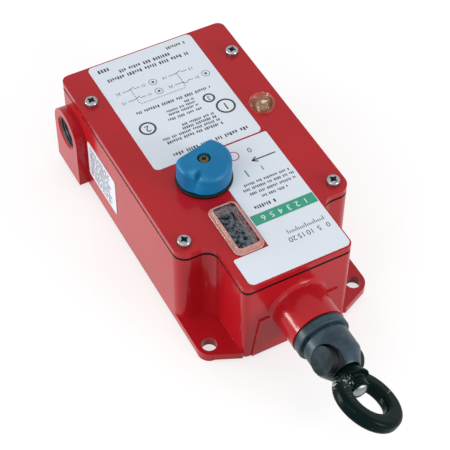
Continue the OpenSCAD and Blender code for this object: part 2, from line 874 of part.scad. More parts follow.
module contact_block() {
    difference() {
        translate([0, 0, plate_top]) linear_extrude(block_h)
            round_rect(block_x, block_x + block_w, block_y0, block_y0 + block_l, block_r, block_r);
        translate([block_x - 1, y_plunger, axis_z]) rotate([0, 90, 0])
            cylinder(h = plunger_depth + 1, r = plunger_r + running_gap);
        translate([0, 0, block_top - pocket_depth]) linear_extrude(pocket_depth + 1)
            at_terminals() circle(r = pocket_r);
        translate([0, 0, block_top - pocket_depth - terminal_screw_l - 1])
            linear_extrude(terminal_screw_l + 2) at_terminals() circle(r = m3_r + seat_gap);
        // Slots that let the wires in under the terminal screws
        for (y = [-terminal_y, terminal_y])
            translate([block_x - 1, y_plunger + y - wire_slot_w / 2, block_top - pocket_depth])
                cube([block_w + 2, wire_slot_w, pocket_depth + 1]);
        translate([0, 0, plate_top - 1]) linear_extrude(block_screw_grip + 2)
            at_block_screws() circle(r = m3_r + seat_gap);
    }
}

module left_contact_block() {
    color("#3a4046") mirror([1, 0, 0]) contact_block();
}

module right_contact_block() {
    color("#3a4046") contact_block();
}

module terminal_screws() {
    color(brass) translate([0, 0, block_top - pocket_depth]) for (s = [0, 1]) mirror([s, 0, 0])
        at_terminals() pan_screw(m3_r, terminal_screw_l, terminal_r, terminal_head_h);
}

// Plunger with a round nose, which rides on the ramp of the cam sleeve
plunger_nose_x = cam_low + cam_slope * (y_plunger - y_ramp)
    + (plunger_r + free_gap) * sqrt(1 + cam_slope ^ 2);
plunger_end_x = block_x + plunger_depth - cam_slope * pull_travel - 2;

module plunger() {
    translate([plunger_nose_x, y_plunger, axis_z]) {
        sphere(r = plunger_r);
        rotate([0, 90, 0]) cylinder(h = plunger_end_x - plunger_nose_x, r = plunger_r);
    }
}

module left_plunger() {
    color(white) mirror([1, 0, 0]) plunger();
}

module right_plunger() {
    color(white) plunger();
}

guide_r = 9;
guide_foot_w = 34;
guide_foot_t = 3;

module at_guide_screws() {
    for (x = [-1, 1]) translate([x * (guide_foot_w / 2 - 4), y_guide + guide_l / 2]) children();
}

module rear_rod_guide() {
    color(zinc) difference() {
        union() {
            translate([-guide_foot_w / 2, y_guide, plate_top])
                cube([guide_foot_w, guide_l, guide_foot_t]);
            translate([-guide_r, y_guide, plate_top]) cube([2 * guide_r, guide_l, axis_z - plate_top]);
            along_rod(y_guide, y_guide + guide_l, guide_r, guide_r);
        }
        along_rod(y_guide - 1, y_guide + guide_l + 1, rod_r + running_gap, rod_r + running_gap);
        translate([0, 0, plate_top - 1]) linear_extrude(guide_foot_t + 2)
            at_guide_screws() circle(r = m3_r + seat_gap);
    }
}

module guide_screws() {
    color(steel) translate([0, 0, plate_top + guide_foot_t]) at_guide_screws()
        pan_screw(m3_r, guide_foot_t + plate_t, m3_head_r, m3_head_h);
}

module ground_screw() {
    color("#3f8f4f") translate([ground_x, ground_y, floor_top + ground_post_h])
        pan_screw(screw_r, ground_post_h, head_r, head_h);
}

/* Knob */

seal_r = knob_r + 0.6;
seal_h = 2;
knob_bottom = cover_top + seal_h + free_gap;
knob_top = cover_top + knob_h;
shaft_top = knob_top - 5.5;
cam_disc_t = 3.5;
shaft_bottom = block_top + 1.5;
cam_disc_z = shaft_bottom + 0.8;
bush_lip = 2.5;

module knob_seal() {
    color(black) translate([knob_x, y_knob, cover_top]) difference() {
        rotate_extrude() turned(seal_r, 0, seal_h, 0.2, 0.6);
        translate([0, 0, -1]) cylinder(h = seal_h + 2, r = knob_bush_r + seat_gap);
    }
}

module knob_bushing() {
    color(brass) translate([knob_x, y_knob, 0]) difference() {
        union() {
            translate([0, 0, gasket_top - bush_lip]) cylinder(h = bush_lip, r = knob_bush_r + 2.5);
            translate([0, 0, gasket_top - 1]) cylinder(h = cover_t + seal_h + 0.8, r = knob_bush_r);
        }
        translate([0, 0, gasket_top - bush_lip - 1])
            cylinder(h = bush_lip + cover_t + seal_h + 3, r = shaft_r + running_gap);
    }
}

// Hollow for the fingers in the grip's flat back
scoop_r = 11;
scoop_depth = 0.5;
scoop_drop = 5;
// Crease between the front end of the grip and the round base, leaning out at its top
crease_r = 3.4;
crease_at = -137;
crease_out = 0.9;
crease_lean = 14;

module grip_back(h) {
    rotate([90, 0, 90]) linear_extrude(4 * knob_r, center = true) {
        translate([grip_half, h - scoop_drop]) square([2 * knob_r, scoop_drop + 1]);
        translate([grip_half + scoop_r - scoop_depth, h - scoop_drop]) circle(r = scoop_r);
    }
}

module reset_knob() {
    h = knob_top - knob_bottom;
    color(blue) translate([knob_x, y_knob, knob_bottom]) rotate([0, 0, grip_turn]) difference() {
        rotate_extrude() turned(knob_r, 0, h, 0.3, knob_round);
        rotate([0, 0, crease_at]) translate([knob_r + crease_out, 0, 0]) rotate([0, crease_lean, 0])
            translate([0, 0, -2]) cylinder(h = h + 4, r = crease_r);
        grip_back(h);
        cylinder(h = 2 * (shaft_top - knob_bottom + seat_gap), r = shaft_r + seat_gap, center = true);
        cylinder(h = h + 1, r = m3_r + free_gap / 2);
        translate([0, 0, h - 3]) cylinder(h = 4, r = 3.6);
    }
}

module knob_screw() {
    color(brass) translate([knob_x, y_knob, knob_top - 3]) pan_screw(m3_r, 10, 2.75, 2);
}

module knob_shaft() {
    color(steel) translate([knob_x, y_knob, 0]) difference() {
        translate([0, 0, shaft_bottom]) cylinder(h = shaft_top - shaft_bottom, r = shaft_r);
        translate([0, 0, shaft_top - 9]) cylinder(h = 10, r = m3_r + seat_gap);
    }
}

module reset_cam() {
    color(zinc) translate([knob_x, y_knob, cam_disc_z]) rotate([0, 0, grip_turn]) difference() {
        union() {
            cylinder(h = cam_disc_t, r = 7.5);
            translate([4.5, 0, 0]) cylinder(h = cam_disc_t, r = 6);
        }
        translate([0, 0, -1]) cylinder(h = cam_disc_t + 2, r = shaft_r + seat_gap);
    }
}

housing();
cover_gasket();
cover();
cover_screws();
upper_label();
lower_label();
side_label();
window_lens();
pilot_lens();
pilot_lamp();
lamp_nut();
knob_seal();
knob_bushing();
boot();
rod_bushing();
base_plate();
plate_screws();
left_contact_block();
right_contact_block();
block_screws();
terminal_screws();
rear_rod_guide();
guide_screws();
ground_screw();
main_spring();
pull_rod();
eye_nut();
lock_nut();
spring_seat();
retaining_ring();
tension_pointer();
cam_sleeve();
cam_nut();
reset_knob();
knob_screw();
knob_shaft();
reset_cam();
left_plunger();
right_plunger();
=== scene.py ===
# Rope pull switch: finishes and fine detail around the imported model
import json
import math
import random
import bpy
import bmesh
from mathutils import Matrix, Vector


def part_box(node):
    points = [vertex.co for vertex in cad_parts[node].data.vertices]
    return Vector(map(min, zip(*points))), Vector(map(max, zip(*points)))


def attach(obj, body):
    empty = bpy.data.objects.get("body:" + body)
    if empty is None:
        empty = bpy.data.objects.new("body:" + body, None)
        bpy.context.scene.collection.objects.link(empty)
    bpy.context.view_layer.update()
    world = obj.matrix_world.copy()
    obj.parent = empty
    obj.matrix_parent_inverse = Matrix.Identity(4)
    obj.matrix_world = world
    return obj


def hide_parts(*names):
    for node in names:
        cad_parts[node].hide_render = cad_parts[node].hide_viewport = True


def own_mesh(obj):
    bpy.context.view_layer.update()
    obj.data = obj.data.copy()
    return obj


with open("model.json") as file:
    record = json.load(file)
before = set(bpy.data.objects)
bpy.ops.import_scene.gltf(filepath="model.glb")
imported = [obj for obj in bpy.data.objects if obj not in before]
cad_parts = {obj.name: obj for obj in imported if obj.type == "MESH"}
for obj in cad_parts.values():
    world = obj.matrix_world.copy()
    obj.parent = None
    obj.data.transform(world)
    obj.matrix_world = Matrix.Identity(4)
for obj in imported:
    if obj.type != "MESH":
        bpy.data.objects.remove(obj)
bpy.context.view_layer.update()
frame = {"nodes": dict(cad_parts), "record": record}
record = frame["record"]
mm = 0.001
print("frame loaded")


def jointNamed(name):
    return next(j for j in record["behaviour"]["joints"] if j["name"] == name)


def mountNamed(name):
    return next(m for m in record["mounts"] if m["name"] == name)


# Shader maths: a Wire is one socket, and sums on wires add Math nodes
class Wire:
    def __init__(self, tree, socket):
        self.tree = tree
        self.socket = socket

    def maths(self, operation, other, swap=False):
        node = self.tree.nodes.new("ShaderNodeMath")
        node.operation = operation
        for socket, value in zip(node.inputs, (other, self) if swap else (self, other)):
            plug(self.tree, socket, value)
        return Wire(self.tree, node.outputs[0])

    def __add__(self, other):
        return self.maths("ADD", other)

    def __radd__(self, other):
        return self.maths("ADD", other)

    def __sub__(self, other):
        return self.maths("SUBTRACT", other)

    def __rsub__(self, other):
        return self.maths("SUBTRACT", other, swap=True)

    def __mul__(self, other):
        return self.maths("MULTIPLY", other)

    def __rmul__(self, other):
        return self.maths("MULTIPLY", other)

    def __truediv__(self, other):
        return self.maths("DIVIDE", other)

    def __pow__(self, other):
        return self.maths("POWER", other)

    def __gt__(self, other):
        return self.maths("GREATER_THAN", other)


# Links a wire to a socket, or sets a plain value on it
def plug(tree, socket, value):
    if isinstance(value, Wire):
        tree.links.new(value.socket, socket)
    else:
        socket.default_value = value


# A Mix node's colour sockets share their names with its other sockets, so they go by place
mixPlaces = {"one": 6, "two": 7, "result": 2}


class Finish:
    def __init__(self, name):
        self.material = bpy.data.materials.new(name)
        self.material.use_nodes = True
        self.tree = self.material.node_tree
        self.tree.nodes.clear()
        self.output = self.tree.nodes.new("ShaderNodeOutputMaterial")

    # kind of node, what is set on it, and the values or wires of its sockets
    def node(self, kind, settings=None, sockets=None, out=0):
        node = self.tree.nodes.new("ShaderNode" + kind)
        for name, value in (settings or {}).items():
            if name == "stops":
                setStops(node.color_ramp, value)
            else:
                setattr(node, name, value)
        for name, value in (sockets or {}).items():
            plug(self.tree, node.inputs[name], value)
        return Wire(self.tree, node.outputs[out])

    def place(self):
        return self.node("TexCoord", out="Object")

    def noise(self, scale, detail=2, rough=0.5):
        return self.node("TexNoise", None, {
            "Vector": self.place(), "Scale": scale, "Detail": detail, "Roughness": rough})

    def coordinate(self, axis):
        return self.node("SeparateXYZ", None, {"Vector": self.place()}, "XYZ".index(axis))

    def ramp(self, value, stops):
        return self.node("ValToRGB", {"stops": stops}, {"Fac": value})

    def blend(self, factor, one, two):
        return self.node("Mix", {"data_type": "RGBA"}, {
            "Factor": factor, mixPlaces["one"]: colour4(one), mixPlaces["two"]: colour4(two)},
            mixPlaces["result"])

    def bump(self, height, depth, strength):
        return self.node("Bump", None, {"Height": height, "Distance": depth, "Strength": strength})

    def surface(self, **sockets):
        shader = self.tree.nodes.new("ShaderNodeBsdfPrincipled")
        for name, value in sockets.items():
            socket = shader.inputs[name.replace("_", " ")]
            plug(self.tree, socket, colour4(value) if "Color" in name else value)
        self.tree.links.new(shader.outputs[0], self.output.inputs["Surface"])
        return self.material


def setStops(ramp, stops):
    while len(ramp.elements) < len(stops):
        ramp.elements.new(0.5)
    for element, (position, value) in zip(ramp.elements, stops):
        element.position = position
        element.color = colour4(value)


def colour4(value):
    if isinstance(value, Wire):
        return value
    if isinstance(value, (int, float)):
        return (value, value, value, 1)
    return (*value, 1)


# sRGB numbers 0 to 255 as scene colour
def shade(r, g, b):
    def linear(c):
        c = c / 255
        return c / 12.92 if c <= 0.04045 else ((c + 0.055) / 1.055) ** 2.4
    return (linear(r), linear(g), linear(b))


def dim(colour, share):
    return [c * share for c in colour]


# A value that strays by half of spread to each side of its middle
def around(middle, pattern, spread):
    return middle + (pattern * spread - spread / 2)


# Finishes: noise scales are per metre, depths in metres

enamelSetup = {"cloud": 22, "peel": 420, "grime": 90, "uneven": 0.1, "bump": 0.6}


def enamel(name, colour, dark, rough=0.16, peel=0.03 * mm, ior=1.34):
    f, setup = Finish(name), enamelSetup
    cloud = f.noise(setup["cloud"], 3)
    tone = f.blend(f.ramp(cloud, [(0.3, 0), (0.7, 1)]), dark, colour)
    fine = f.noise(setup["peel"])
    grime = f.noise(setup["grime"], 4, 0.6)
    return f.surface(
        Base_Color=tone, Roughness=around(rough, grime, setup["uneven"]), IOR=ior,
        Normal=f.bump(fine, peel, setup["bump"]))


mouldedSetup = {"smear": 300, "uneven": 0.14, "grain": 1500, "depth": 0.02 * mm, "bump": 0.5,
                "inShade": 0.2}


# Moulded plastic or rubber, with painted deep shade behind shadeFrom where that is given
def moulded(name, colour, dark, rough, ior=1.35, patch=60, shadeFrom=None):
    f, setup = Finish(name), mouldedSetup
    cloud = f.noise(patch, 3)
    tone = f.blend(f.ramp(cloud, [(0.35, 0), (0.7, 1)]), dark, colour)
    if shadeFrom is not None:
        tone = f.blend(f.coordinate("Y") > shadeFrom, tone, dim(dark, setup["inShade"]))
    return f.surface(
        Base_Color=tone, Roughness=around(rough, f.noise(setup["smear"], 3), setup["uneven"]),
        IOR=ior, Normal=f.bump(f.noise(setup["grain"]), setup["depth"], setup["bump"]))


metalSetup = {"lines": 900, "stain": 160, "stained": 0.72, "depth": 0.01 * mm, "bump": 0.4}


def turnedMetal(name, colour, rough, streak=0.12):
    f, setup = Finish(name), metalSetup
    lines = f.noise(setup["lines"])
    stain = f.ramp(f.noise(setup["stain"], 4, 0.6), [(0.35, 0), (0.75, 1)])
    return f.surface(
        Base_Color=f.blend(stain, dim(colour, setup["stained"]), colour), Metallic=1.0,
        Roughness=around(rough, lines, streak),
        Normal=f.bump(lines, setup["depth"], setup["bump"]))


filmSetup = {"cloud": 30, "dull": 0.97, "rough": 0.32, "smear": 200, "uneven": 0.1}


def filmFinish(name, colour):
    f, setup = Finish(name), filmSetup
    cloud = f.ramp(f.noise(setup["cloud"]), [(0.3, 0), (0.7, 1)])
    return f.surface(
        Base_Color=f.blend(cloud, dim(colour, setup["dull"]), colour),
        Roughness=setup["rough"] + f.noise(setup["smear"]) * setup["uneven"])


inkSetup = {"wear": 500, "kept": 0.8, "paler": 0.06, "rough": 0.45}


def inkFinish(name, colour):
    f, setup = Finish(name), inkSetup
    wornAndGlints = [c * setup["kept"] + setup["paler"] for c in colour]
    wear = f.ramp(f.noise(setup["wear"], 3), [(0.35, 0), (0.75, 1)])
    return f.surface(Base_Color=f.blend(wear, colour, wornAndGlints), Roughness=setup["rough"])


clearSetup = {"ior": 1.49, "smear": 0.04, "wave": 120, "depth": 0.02 * mm, "bump": 0.4,
              "glintCover": 0.92}


# Clear plastic with a mottled cover between thin and thick, and painted glints where a colour is
# given
def clearFinish(name, colour, thin, thick, rough=0.08, scale=240, glint=None):
    f, setup = Finish(name), clearSetup
    hazeAndGlints = f.noise(scale, 3)
    cover = [(0.42, thin), (0.62, thick)]
    if glint:
        cover += [(0.65, thick), (0.68, setup["glintCover"])]
        colour = f.blend(f.ramp(hazeAndGlints, [(0.64, 0), (0.67, 1)]), colour, glint)
    return f.surface(
        Base_Color=colour, Roughness=rough + hazeAndGlints * setup["smear"], IOR=setup["ior"],
        Alpha=f.ramp(hazeAndGlints, cover),
        Normal=f.bump(f.noise(setup["wave"]), setup["depth"], setup["bump"]))


# The spot round which the painted highlights gather is placed from the eye's centre
castSetup = {"grain": 900, "patch": 70, "spot": (-8.5, 10.2, 5.6), "reach": 9 * mm,
             "patchShare": 0.3, "grainShare": 0.7, "nearShare": 0.29, "glintMetal": 0.4,
             "rough": 0.2, "uneven": 0.1, "ior": 1.14,
             "lumps": 420, "depth": 0.16 * mm, "bump": 0.6}


# Cast black steel with painted highlights, bright specks that gather round one place
def castFinish(name, colour, speck):
    f, setup = Finish(name), castSetup
    spot = eyeCentre + Vector(setup["spot"]) * mm
    grain = f.noise(setup["grain"], 3, 0.6)
    away = sum((f.coordinate(axis) - at) * (f.coordinate(axis) - at)
               for axis, at in zip("XYZ", spot)) ** 0.5
    near = (1 - away / setup["reach"]).maths("MAXIMUM", 0)
    wornAndGlints = f.ramp(
        f.noise(setup["patch"]) * setup["patchShare"] + grain * setup["grainShare"]
        + near * setup["nearShare"], [(0.65, 0), (0.7, 1)])
    return f.surface(
        Base_Color=f.blend(wornAndGlints, colour, speck), Metallic=wornAndGlints * setup["glintMetal"],
        Roughness=setup["rough"] + grain * setup["uneven"], IOR=setup["ior"],
        Normal=f.bump(f.noise(setup["lumps"]), setup["depth"], setup["bump"]))


eyeCentre = Vector(mountNamed("rope_eye")["pos_m"])
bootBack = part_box("boot")[1].y
# Width of the band of painted shade at the back of the boot, next to the snout
bootShadow = 1.7 * mm

finishes = {
    "red": enamel("redEnamel", shade(179, 24, 34), shade(169, 20, 30)),
    "black": enamel("blackEnamel", shade(4, 17, 18), shade(2, 10, 11), 0.16, 0.16 * mm, 1.2),
    # The light colour is painted highlights, in specks
    "cast": castFinish("castSteel", shade(4, 22, 22), shade(190, 198, 200)),
    "rubber": moulded("blackRubber", shade(12, 13, 14), shade(7, 8, 9), 0.6),
    "gasket": moulded("gasketRubber", shade(5, 5, 6), shade(2, 2, 3), 0.6, ior=1.2),
    # Boot rubber, with a band of painted shade at its back next to the snout
    "boot": moulded("bootRubber", shade(50, 72, 84), shade(24, 44, 54), 0.36, patch=150,
                    shadeFrom=bootBack - bootShadow),
    # Darker copies of the boot rubber: painted shade on the bosses' faces and in the crescents
    # beside them
    "bootEarShade": moulded("bootEarShade", shade(42, 62, 70), shade(12, 24, 28), 0.3, ior=1.12, patch=130),
    "bootShade": moulded("bootShade", shade(9, 15, 18), shade(5, 9, 12), 0.6),
    "blue": moulded("blueMoulding", shade(0, 116, 166), shade(0, 102, 150), 0.42),
    "dark": moulded("darkMoulding", shade(40, 42, 46), shade(30, 32, 36), 0.5),
    "cream": moulded("creamMoulding", shade(214, 208, 192), shade(200, 192, 176), 0.45),
    "steel": turnedMetal("platedSteel", shade(172, 175, 180), 0.3),
    "rodSteel": turnedMetal("rodSteel", shade(168, 172, 178), 0.46),
    "zinc": turnedMetal("zincPlate", shade(176, 180, 184), 0.38, 0.2),
    "brass": turnedMetal("turnedBrass", shade(214, 176, 104), 0.26),
    "oldBrass": turnedMetal("oldBrass", shade(128, 104, 66), 0.34),
    "green": enamel("earthGreen", shade(52, 130, 70), shade(44, 116, 60), 0.3),
    "film": filmFinish("labelFilm", shade(219, 227, 237)),
    "ink": inkFinish("greyInk", shade(44, 49, 58)),
    # Dark ink for print, also the painted shade and dirt in the screw recesses
    "darkInkAndShade": inkFinish("darkInkAndShade", shade(26, 29, 34)),
    "bandGreen": inkFinish("greenInk", shade(20, 150, 120)),
    "ringRed": inkFinish("redInk", shade(150, 60, 80)),
    "pale": inkFinish("paleInk", shade(214, 236, 230)),
    "clear": clearFinish("clearLens", shade(204, 152, 142), 0.74, 0.86),
    # Amber lens, with painted glints in the glint colour
    "amberClear": clearFinish("amberClear", shade(196, 150, 116), 0.14, 0.3, scale=300,
                              glint=shade(250, 236, 214)),
    # Turned metal darkened as painted shade inside the conduit bore
    "threadShaded": turnedMetal("threadShaded", shade(84, 86, 90), 0.4, 0.2),
    # The dome's mottled grey cover: partly scratches, partly painted reflection
    "dome": clearFinish("clearDome", shade(124, 136, 148), 0.02, 0.4, 0.06, 480),
    # Amber bulb in patches; its bright patches are painted highlights
    "bulb": moulded("bulbAmber", shade(176, 150, 110), shade(60, 52, 38), 0.2, patch=420, ior=1.45),
}
print("finishes made")

# The nodes that take each finish; the main spring has only its copy
plain = {
    "red": ["housing", "cover"],
    "black": ["lock_nut", "tension_pointer"],
    "cast": ["eye_nut"],
    "rubber": ["cover_gasket", "knob_seal"],
    "boot": ["boot"],
    "blue": ["reset_knob"],
    "dark": ["lamp_nut", "left_contact_block", "right_contact_block"],
    "cream": ["cam_sleeve", "left_plunger", "right_plunger"],
    "steel": ["cover_screws", "plate_screws", "block_screws", "guide_screws",
              "retaining_ring", "cam_nut", "knob_shaft"],
    "bulb": ["pilot_lamp"],
    "rodSteel": ["pull_rod"],
    "zinc": ["base_plate", "rear_rod_guide", "spring_seat", "reset_cam"],
    "brass": ["knob_bushing", "rod_bushing", "terminal_screws"],
    "oldBrass": ["knob_screw"],
    "green": ["ground_screw"],
    "film": ["upper_label", "lower_label", "side_label"],
    "clear": ["window_lens"],
    "amberClear": ["pilot_lens"],
}


def coat(piece, finish):
    piece.data.materials.clear()
    piece.data.materials.append(finishes[finish])


for finish, names in plain.items():
    for name in names:
        coat(frame["nodes"][name], finish)


# Piece helpers

def bodyOf(node):
    return next(body for body, names in record["behaviour"]["bodies"].items() if node in names)


def smoothByAngle(bm, degrees=32):
    for face in bm.faces:
        face.smooth = True
    for edge in bm.edges:
        flat = edge.calc_face_angle(0) < math.radians(degrees)
        edge.smooth = len(edge.link_faces) == 2 and flat


def inScene(name, data):
    thing = bpy.data.objects.new(name, data)
    bpy.context.scene.collection.objects.link(thing)
    return thing


def meshInScene(name, bm):
    mesh = bpy.data.meshes.new(name)
    bm.to_mesh(mesh)
    bm.free()
    return inScene(name, mesh)


# A piece that rides with a node, and stands for it where replace is set
def addPiece(name, bm, finish, node, replace=False):
    piece = meshInScene(name, bm)
    coat(piece, finish)
    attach(piece, bodyOf(node))
    if replace:
        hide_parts(node)
    return piece


copySetup = {"merge": 0.004 * mm, "flat": 0.6}


# A node's merged copy, its flat faces joined
def copyOf(node):
    bm = bmesh.new()
    bm.from_mesh(frame["nodes"][node].data)
    bmesh.ops.remove_doubles(bm, verts=bm.verts, dist=copySetup["merge"])
    bmesh.ops.dissolve_degenerate(bm, edges=bm.edges, dist=copySetup["merge"])
    bmesh.ops.dissolve_limit(bm, angle_limit=math.radians(copySetup["flat"]),
                             verts=bm.verts, edges=bm.edges)
    return bm


easeSetup = {"segments": 3, "angle": 34}


# A node's copy with rounded edges, after shape has worked on it
def eased(name, node, finish, width, shape=None):
    bm = copyOf(node)
    if shape:
        shape(bm)
    smoothByAngle(bm)
    piece = addPiece(name, bm, finish, node, replace=True)
    bevel = piece.modifiers.new("edges", "BEVEL")
    bevel.width = width
    bevel.segments = easeSetup["segments"]
    bevel.limit_method = "ANGLE"
    bevel.angle_limit = math.radians(easeSetup["angle"])
    bevel.use_clamp_overlap = True
    bevel.miter_outer = "MITER_ARC"
    flat = piece.modifiers.new("flats", "WEIGHTED_NORMAL")
    flat.keep_sharp = True
    return piece


eased("castShell", "housing", "red", 0.5 * mm)
eased("coverShell", "cover", "red", 0.7 * mm)


# An even, dense skin
def addSkin(piece, size):
    skin = piece.modifiers.new("skin", "REMESH")
    skin.mode = "VOXEL"
    skin.voxel_size = size
    return skin


def addFlow(piece, passes, strength):
    soft = piece.modifiers.new("flow", "SMOOTH")
    soft.iterations = passes
    soft.factor = strength


# What its modifiers make of a helper object, which is then removed
def evaluated(piece):
    result = bmesh.new()
    result.from_object(piece, bpy.context.evaluated_depsgraph_get())
    bpy.data.objects.remove(piece)
    return result


# Runs smoothly from 0 at start to 1 at end
def rise(value, start, end):
    t = min(max((value - start) / (end - start), 0), 1)
    return t * t * (3 - 2 * t)


# Degrees from one direction to another, -180 to 180
def turnFrom(start, angle):
    return (angle - start + 180) % 360 - 180


# The knob: a deep crease parts a crisp lobe from a rounded one, and the plain notch of the
# solid is filled up to the round wall. Angles are degrees about the knob's axis, and the
# pairs say where an effect starts and is whole, in degrees or in shares of the radius.
gripSetup = {
    "grain": 0.28 * mm, "passes": 3, "strength": 0.5,
    "crease": -138, "left": 24, "right": 34, "fade": 1.25, "creaseIn": (0.35, 1),
    "inset": 0.32, "foot": 0.15, "drop": 5.4 * mm,
    "dome": 2.6 * mm, "lobeStart": (8, 40), "lobeEnd": (70, 105), "lobeIn": (0.35, 1.1),
    "notch": -124.6, "notchWidth": 3.5 * mm, "notchOut": 0.9 * mm, "lean": 0.25,
    "fillIn": (0.5, 0.8),
}


# Distance from the axis to the notch's wall, at a height and an angle from the notch
def notchWall(setup, radius, height, turn):
    centre = radius + setup["notchOut"] + setup["lean"] * height
    side = centre * math.sin(math.radians(turn))
    if abs(turn) > 90 or abs(side) >= setup["notchWidth"]:
        return radius
    deep = math.sqrt(setup["notchWidth"] ** 2 - side ** 2)
    return min(radius, centre * math.cos(math.radians(turn)) - deep)


def makeGrip(setup):
    low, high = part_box("reset_knob")
    axis = Vector(jointNamed("knob_turn")["pos_m"])
    radius = high.x - axis.x
    solid = meshInScene("skin", copyOf("reset_knob"))
    addSkin(solid, setup["grain"])
    bm = evaluated(solid)
    for vert in bm.verts:
        x, y = vert.co.x - axis.x, vert.co.y - axis.y
        share = math.hypot(x, y) / radius
        up = min(max((vert.co.z - low.z) / (high.z - low.z), 0), 1)
        angle = math.degrees(math.atan2(y, x))
        turn = turnFrom(setup["crease"], angle)
        wall = notchWall(setup, radius, vert.co.z - low.z, turnFrom(setup["notch"], angle))
        fill = 1 + (radius / wall - 1) * rise(share, *setup["fillIn"])
        wide = setup["left" if turn < 0 else "right"]
        depth = max(0, 1 - abs(turn) / wide) ** setup["fade"]
        crease = depth * rise(share, *setup["creaseIn"])
        lobe = rise(turn, *setup["lobeStart"]) * (1 - rise(turn, *setup["lobeEnd"]))
        lobe *= rise(share, *setup["lobeIn"])
        growing = setup["foot"] + (1 - setup["foot"]) * up
        narrow = min(fill, 1 / share) * (1 - setup["inset"] * crease * growing)
        drop = (setup["drop"] * crease * up + setup["dome"] * lobe) * up
        vert.co = (axis.x + x * narrow, axis.y + y * narrow, vert.co.z - drop)
    for face in bm.faces:
        face.smooth = True
    piece = addPiece("gripShell", bm, "blue", "reset_knob", replace=True)
    addFlow(piece, setup["passes"], setup["strength"])


makeGrip(gripSetup)

# The lens has a milky flange and a clear middle
lensSetup = {"edge": 0.8 * mm, "rim": 2.3 * mm, "ease": 0.4 * mm, "topWithin": 0.2 * mm}


def makeLens(setup):
    low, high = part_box("window_lens")

    def insetTop(bm):
        lowest = high.z - setup["topWithin"]
        tops = [face for face in bm.faces
                if face.normal.z > 0.99 and face.calc_center_median().z > lowest]
        bmesh.ops.inset_region(bm, faces=tops, thickness=setup["edge"])

    shell = eased("lensShell", "window_lens", "clear", setup["ease"], shape=insetTop)
    shell.data.materials.append(finishes["dome"])
    inner = [min(v.co.x - low.x, high.x - v.co.x, v.co.y - low.y, high.y - v.co.y) > setup["rim"]
             for v in shell.data.vertices]
    for face in shell.data.polygons:
        face.material_index = int(all(inner[k] for k in face.vertices))


makeLens(lensSetup)

# The clamped gasket swells out almost to the cover's edge and fills the eased corners
gasketSetup = {"inset": 0.1 * mm, "above": 0.35 * mm, "below": 0.25 * mm}


def swellGasket(setup):
    bm = copyOf("cover_gasket")
    low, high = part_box("cover_gasket")
    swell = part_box("cover")[1].x - high.x - setup["inset"]
    middle = (low + high) / 2
    moves = {}
    for vert in bm.verts:
        out = Vector((0, 0, 0))
        for face in vert.link_faces:
            if abs(face.normal.z) < 0.5:
                out += face.normal
        away = vert.co - middle
        if out.length > 0 and out.x * away.x + out.y * away.y > 0:
            lift = setup["above"] if away.z > 0 else -setup["below"]
            moves[vert] = out.normalized() * swell + Vector((0, 0, lift))
    for vert, move in moves.items():
        vert.co += move
    smoothByAngle(bm)
    addPiece("gasketSwollen", bm, "gasket", "cover_gasket", replace=True)


swellGasket(gasketSetup)


# The main spring's smooth copy in steel, riding with its body; the share of its length kept when
# the rod is pulled out is worked out but not used
def makeSpring():
    bm = copyOf("main_spring")
    smoothByAngle(bm, 60)
    coil = addPiece("springCoil", bm, "steel", "main_spring", replace=True)
    pull = jointNamed("pull_slide")
    fixedEnd = pull["deforming_nodes"][0]["fixed_end_y_m"]
    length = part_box("main_spring")[1].y - fixedEnd
    keep = 1 - pull["range_m"][1] / length
    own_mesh(coil)


makeSpring()
print("edges eased")


# Boxes of a node's separate solids
def solidsOf(node):
    bm = copyOf(node)
    left, found = set(bm.verts), []
    while left:
        stack = [left.pop()]
        island = list(stack)
        while stack:
            for edge in stack.pop().link_edges:
                for vert in edge.verts:
                    if vert in left:
                        left.discard(vert)
                        stack.append(vert)
                        island.append(vert)
        low = Vector(min(v.co[k] for v in island) for k in range(3))
        high = Vector(max(v.co[k] for v in island) for k in range(3))
        found.append((low, high))
    bm.free()
    return found


tiny = 0.001 * mm


# Turns (radius, height) points about Z into a closed solid
def lathe(points, steps=48):
    bm = bmesh.new()
    verts = [bm.verts.new((r, 0, z)) for r, z in points]
    edges = [bm.edges.new(pair) for pair in zip(verts, verts[1:])]
    if points[0][0] > 0:
        edges.append(bm.edges.new((verts[-1], verts[0])))
    bmesh.ops.spin(bm, geom=verts + edges, cent=(0, 0, 0), axis=(0, 0, 1), angle=math.tau,
                   steps=steps, use_merge=True)
    bmesh.ops.remove_doubles(bm, verts=bm.verts, dist=tiny)
    bmesh.ops.recalc_face_normals(bm, faces=bm.faces)
    return bm


def block(bm, low, high):
    size = [h - l for l, h in zip(low, high)]
    middle = [(h + l) / 2 for l, h in zip(low, high)]
    place = Matrix.Translation(middle) @ Matrix.Diagonal((*size, 1))
    return bmesh.ops.create_cube(bm, size=1, matrix=place)["verts"]


# Adds one bmesh to another, at a place
def absorb(bm, other, matrix):
    bmesh.ops.transform(other, matrix=matrix, verts=other.verts)
    mesh = bpy.data.meshes.new("part")
    other.to_mesh(mesh)
    other.free()
    bm.from_mesh(mesh)
    bpy.data.meshes.remove(mesh)


# Takes the cutter's shape out of a bmesh
def cutFrom(bm, cutter):
    body, tool = meshInScene("cut", bm), meshInScene("cut", cutter)
    cut = body.modifiers.new("cut", "BOOLEAN")
    cut.operation = "DIFFERENCE"
    cut.solver = "EXACT"
    cut.object = tool
    result = evaluated(body)
    bpy.data.objects.remove(tool)
    bmesh.ops.remove_doubles(result, verts=result.verts, dist=tiny)
    return result


# Shares of the shank's radius, and of the head's radius and height
screwSetup = {"tip": 0.8, "chamfer": 0.2, "seat": 0.97, "lip": 0.04, "wall": 0.5,
              "crown": 0.22, "crownAt": (0.4, 0.8, 1.2, math.pi / 2)}


